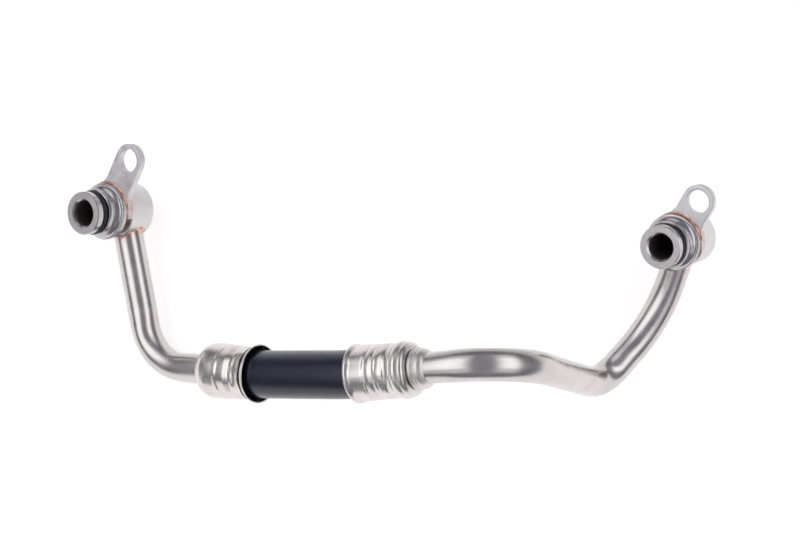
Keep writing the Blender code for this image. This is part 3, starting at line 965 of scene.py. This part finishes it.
CRIMP_BANDS = {
    "right": ((1.4, 7.2, 0.22, 0.0), (7.6, 10.0, 0.07, 0.0), (10.6, 14.4, 0.22, 0.0)),
    "left": ((1.4, 5.8, 0.24, 0.5), (6.0, 12.4, 0.22, 0.0), (12.6, 17.6, 0.10, 0.5)),
}
CRIMP_FLATS = 8
CRIMP_TURN = {"left": 0.0, "right": -0.2}


def crimp_depth(side, at, angle):
    """How deep the jaws pressed the shell at a place, in millimetres."""
    depth = 0.0
    for low, high, deep, shift in CRIMP_BANDS[side]:
        share = min((at - low) / 0.9, (high - at) / 0.9, 1.0)
        if share > 0:
            ease = share * share * (3 - 2 * share)
            flat = cos(CRIMP_FLATS * (angle - CRIMP_TURN[side]) + shift * 2 * pi)
            depth += deep * ease * (0.5 + 0.5 * flat)
    return depth


def make_ferrule(side):
    """A crimped shell: flared mouth, bands of jaw flats, and a rolled-in end."""
    left_mouth, right_mouth = mouths()
    mouth, away = (left_mouth, -1) if side == "left" else (right_mouth, 1)
    shape = along_curve(FERRULE_SHAPE[side], 0.22)
    wall, hose = 0.4, sizes().hose_od / 2 / MM
    lip = FERRULE_SHAPE[side][0][1] - wall
    inside = [(5.4, hose - 0.5), (4.6, hose), (3.4, hose + 0.55), (2.0, lip - 0.25), (0.9, lip), (0.1, lip)]
    rows = [(mouth + away * at * MM, radius * MM) for at, radius in inside + shape]
    bm = swept(rows, 160, straight_frame(mouth + away * 11 * MM))
    local = bm.verts.layers.float_vector[LOCAL]
    row = bm.verts.layers.int[ROW]
    middle = ROUTE.frame(mouth + away * 11 * MM)
    unplaced = middle.inverted()
    up = unplaced.to_3x3() @ Vector((0, 0, 1))
    top = atan2(up.y, up.x)
    # Marks the mouth's inner wall, which the material paints dark as painted shade.
    painted_shade_layer = bm.verts.layers.float.new(PAINTED_SHADE_INSIDE)
    for v in bm.verts:
        v[painted_shade_layer] = 1.0 if v[row] < len(inside) - 1 else 0.0
        if v[row] >= len(inside):
            at = abs(v[local].z - mouth) / MM
            here = unplaced @ v.co
            outward = Vector((here.x, here.y, 0))
            pressed = crimp_depth(side, at, atan2(here.y, here.x) - top)
            v.co = middle @ (here - outward.normalized() * pressed * MM)
    finish_piece(
        side + "_crimp_shell", bm, named(crimped_shell), [side + "_ferrule"], radians(50)
    )


def make_insert(side):
    """The insert's collar where it shows behind the ferrule, and its tail inside the hose."""
    left_mouth, right_mouth = mouths()
    length = sizes().ferrule_length
    mouth, away = (left_mouth, -1) if side == "left" else (right_mouth, 1)
    end = mouth + away * length
    if side == "right":
        shape = [(-18.0, 4.9), (-1.0, 5.0), (-0.9, 6.5), (-0.2, 6.65), (0.15, 6.55), (0.35, 6.15)]
        shape += [(0.55, 6.5), (0.9, 6.68), (1.3, 6.66), (1.6, 6.4), (1.9, 6.46), (2.6, 6.3), (3.4, 5.9)]
        shape += [(4.2, 5.08)]
    else:
        shape = [(-18.0, 4.9), (-6.0, 5.0), (-3.0, 5.0), (-1.5, 5.0), (-0.4, 5.0)]
    rows = [(end + away * at * MM, radius * MM) for at, radius in shape]
    bm = swept(rows, 96, straight_frame(end))
    ease_edges(bm, 0.1 * MM, 2, radians(40))
    finish_piece(side + "_barbed_insert", bm, named(insert_steel), [side + "_insert"])


def make_hose():
    """The rubber hose, pressed in where the ferrules grip it."""
    left_mouth, right_mouth = mouths()
    radius = sizes().hose_od / 2
    pressed = radius - 0.6 * MM
    low, high = left_mouth - 16 * MM, right_mouth + 16 * MM
    rows = []
    count = 90
    for k in range(count + 1):
        station = low + (high - low) * k / count
        inside = max(left_mouth - station, station - right_mouth)
        share = min(max((inside - 3.0 * MM) / (2.0 * MM), 0.0), 1.0)
        rows.append((station, radius + (pressed - radius) * share * share * (3 - 2 * share)))
    bm = swept(rows, 96, ROUTE.frame)
    finish_piece("rubber_hose", bm, named(hose_cover), ["hose"], radians(60))


# Operators


class FEEDLINE_OT_fittings(bpy.types.Operator):
    """Turn the two end fittings and seat their seal rings"""

    bl_idname = "feed_line.fittings"
    bl_label = "End fittings"

    def execute(self, context):
        for side in ("left", "right"):
            make_fitting(side)
            make_seal(side)
        return {"FINISHED"}


class FEEDLINE_OT_plates(bpy.types.Operator):
    """Blank the two flange plates and braze them to their fittings"""

    bl_idname = "feed_line.plates"
    bl_label = "Flange plates"

    def execute(self, context):
        for side in ("left", "right"):
            make_plate(side)
            make_plate_braze(side)
        return {"FINISHED"}


class FEEDLINE_OT_tubes(bpy.types.Operator):
    """Bend the two steel tubes and braze them to the fittings' heads"""

    bl_idname = "feed_line.tubes"
    bl_label = "Bent tubes"

    def execute(self, context):
        for side in ("left", "right"):
            make_tube(side)
            make_tube_braze(side)
        return {"FINISHED"}


class FEEDLINE_OT_hose(bpy.types.Operator):
    """Cut the rubber hose that joins the tubes"""

    bl_idname = "feed_line.hose"
    bl_label = "Rubber hose"

    def execute(self, context):
        make_hose()
        return {"FINISHED"}


class FEEDLINE_OT_ferrules(bpy.types.Operator):
    """Crimp the two ferrules over the hose and its inserts"""

    bl_idname = "feed_line.ferrules"
    bl_label = "Crimped ferrules"

    def execute(self, context):
        for side in ("left", "right"):
            make_ferrule(side)
            make_insert(side)
        return {"FINISHED"}


TABLE_HALF = 3.0
TABLE_DROP = 0.2 * MM
TABLE_GLOW = 0.54
MIRRORED_GLOW = 0.52
MIRRORED_GLOW_BEHIND = 0.09
MIRRORED_TINT = (1.0, 0.955, 0.93)


def floor_material():
    """A pale table: white to the camera, warm in the metal, dimmer in it towards the back."""
    color = tuple(finishes().floor)
    surface = Surface("pale_table", color, 0.85, 0.0)
    surface.feed("Specular IOR Level", 0.1)
    place = surface.node("ShaderNodeTexCoord", output="Object")
    grain = surface.noise(place, 400.0, 3.0)
    surface.feed("Base Color", surface.blend(surface.fade(grain, 0.3, 0.7), color, shade(color, 0.985)))
    rays = surface.tree.nodes.new("ShaderNodeLightPath").outputs
    seen = Wire(surface, rays["Is Camera Ray"])
    mirrored = Wire(surface, rays["Is Glossy Ray"]) + Wire(surface, rays["Is Transmission Ray"])
    glow = surface.node("ShaderNodeEmission", {"Color": (1.0, 1.0, 1.0), "Strength": TABLE_GLOW})
    along = surface.split(place, 1)
    dimming = surface.fade(along, 0.03, 0.13, MIRRORED_GLOW, MIRRORED_GLOW_BEHIND)
    warm = surface.node("ShaderNodeEmission", {"Color": MIRRORED_TINT, "Strength": dimming})
    base = Wire(surface, surface.shader.outputs[0])
    lit = surface.node("ShaderNodeAddShader", {0: base, 1: glow})
    bounced = surface.node("ShaderNodeAddShader", {0: base, 1: warm})
    to_camera = surface.node("ShaderNodeMixShader", {0: seen, 1: base, 2: lit})
    both = surface.node("ShaderNodeMixShader", {0: mirrored.clamped(), 1: to_camera, 2: bounced})
    output = surface.tree.nodes["Material Output"]
    surface.tree.links.new(both.socket, output.inputs["Surface"])
    return surface.material


def make_floor():
    bm = bmesh.new()
    bmesh.ops.create_grid(bm, x_segments=8, y_segments=8, size=TABLE_HALF)
    bmesh.ops.translate(bm, vec=(0, 0, -TABLE_DROP), verts=bm.verts)
    mesh = bpy.data.meshes.new("table")
    bm.to_mesh(mesh)
    bm.free()
    mesh.materials.append(floor_material())
    table = bpy.data.objects.new("table", mesh)
    bpy.context.scene.collection.objects.link(table)


# Each lamp's name, place, width from side to side, depth from front to back, and watts
LAMPS = (
    ("softbox_left", (-0.86, 0.2, 0.94), 0.78, 1.4, 2.6),
    ("softbox_right", (0.76, 0.2, 0.98), 0.56, 1.4, 1.9),
    ("panel_left", (-0.89, 0.2, 0.97), 1.15, 3.2, 6.0),
    ("panel_right", (0.79, 0.2, 1.01), 0.82, 3.2, 4.2),
)
LAMPS_FACE = Vector((0, 0.2, 0))


def make_light(name, place, width, depth, power):
    """A lamp that faces the table. Turned that way, its first side runs from front to back."""
    lamp = bpy.data.lights.new(name, "AREA")
    lamp.shape = "RECTANGLE"
    lamp.size = depth
    lamp.size_y = width
    lamp.energy = power
    made = bpy.data.objects.new(name, lamp)
    made.location = place
    made.rotation_euler = (LAMPS_FACE - Vector(place)).to_track_quat("-Z", "Y").to_euler()
    bpy.context.scene.collection.objects.link(made)


# The room's grey at each height, from the horizon to straight overhead
ROOM_LOW = (0.17, 0.165, 0.18, 1)
ROOM_HIGH = (0.25, 0.244, 0.262, 1)
ROOM_BETWEEN = ((0.25, 0.20), (0.60, 0.30), (0.88, 0.26))


def make_world():
    """A dim room, palest half way up."""
    world = bpy.data.worlds.new("studio")
    world.use_nodes = True
    bpy.context.scene.world = world
    tree = world.node_tree
    nodes, links = tree.nodes, tree.links
    coordinate = nodes.new("ShaderNodeTexCoord")
    parts = nodes.new("ShaderNodeSeparateXYZ")
    links.new(coordinate.outputs["Generated"], parts.inputs[0])
    ramp = nodes.new("ShaderNodeValToRGB")
    links.new(parts.outputs["Z"], ramp.inputs["Fac"])
    stops = ramp.color_ramp.elements
    stops[0].position, stops[0].color = 0.0, ROOM_LOW
    stops[1].position, stops[1].color = 1.0, ROOM_HIGH
    for position, value in ROOM_BETWEEN:
        stop = stops.new(position)
        stop.color = (value, value * 0.98, value * 1.05, 1)
    background = nodes["Background"]
    links.new(ramp.outputs["Color"], background.inputs["Color"])
    background.inputs["Strength"].default_value = 1.0


CAMERA_AT = Vector((16.34, -89.67, 692.82)) * MM
CAMERA_RIGHT = Vector((0.9998, 0.0, -0.0199))
CAMERA_AHEAD = Vector((-0.01972, 0.13697, -0.99038))
FOCAL_PIXELS = 2024.0
PICTURE_WIDTH = 800.0
SENSOR_WIDTH = 36.0


def make_camera():
    """The photograph's view: nearly straight down on the line where it lies."""
    data = bpy.data.cameras.new("camera")
    data.sensor_width = SENSOR_WIDTH
    data.lens = FOCAL_PIXELS / PICTURE_WIDTH * SENSOR_WIDTH
    data.clip_start = 0.01
    camera = bpy.data.objects.new("camera", data)
    right = CAMERA_RIGHT.normalized()
    forward = CAMERA_AHEAD.normalized()
    up = right.cross(forward).normalized()
    turn = Matrix((right, up, -forward)).transposed().to_4x4()
    camera.matrix_world = Matrix.Translation(CAMERA_AT) @ turn
    bpy.context.scene.collection.objects.link(camera)
    bpy.context.scene.camera = camera


class FEEDLINE_OT_stage(bpy.types.Operator):
    """Set the table, the lamps, the room and the camera"""

    bl_idname = "feed_line.stage"
    bl_label = "Table, light and camera"

    def execute(self, context):
        make_floor()
        for lamp in LAMPS:
            make_light(*lamp)
        make_world()
        make_camera()
        context.scene.view_settings.view_transform = "Standard"
        return {"FINISHED"}


OPERATORS = (
    FEEDLINE_OT_fittings,
    FEEDLINE_OT_plates,
    FEEDLINE_OT_tubes,
    FEEDLINE_OT_hose,
    FEEDLINE_OT_ferrules,
    FEEDLINE_OT_stage,
)


class FEEDLINE_PT_panel(bpy.types.Panel):
    """The feed line's sizes, finishes and pieces"""

    bl_idname = "FEEDLINE_PT_panel"
    bl_label = "Feed line"
    bl_space_type = "VIEW_3D"
    bl_region_type = "UI"
    bl_category = "Feed line"

    def draw(self, context):
        column = self.layout.column()
        for group in (context.scene.feed_line_sizes, context.scene.feed_line_finishes):
            for name in group.__annotations__:
                column.prop(group, name)
        for operator in OPERATORS:
            column.operator(operator.bl_idname)


CLASSES = (FeedLineSizes, FeedLineFinishes, *OPERATORS, FEEDLINE_PT_panel)


def register():
    for cls in CLASSES:
        bpy.utils.register_class(cls)
    bpy.types.Scene.feed_line_sizes = PointerProperty(type=FeedLineSizes)
    bpy.types.Scene.feed_line_finishes = PointerProperty(type=FeedLineFinishes)


def unregister():
    del bpy.types.Scene.feed_line_finishes
    del bpy.types.Scene.feed_line_sizes
    for cls in reversed(CLASSES):
        bpy.utils.unregister_class(cls)


def main():
    register()
    bpy.ops.feed_line.stage()
    bpy.ops.feed_line.fittings()
    bpy.ops.feed_line.plates()
    bpy.ops.feed_line.tubes()
    bpy.ops.feed_line.hose()
    bpy.ops.feed_line.ferrules()


if __name__ == "__main__":
    main()
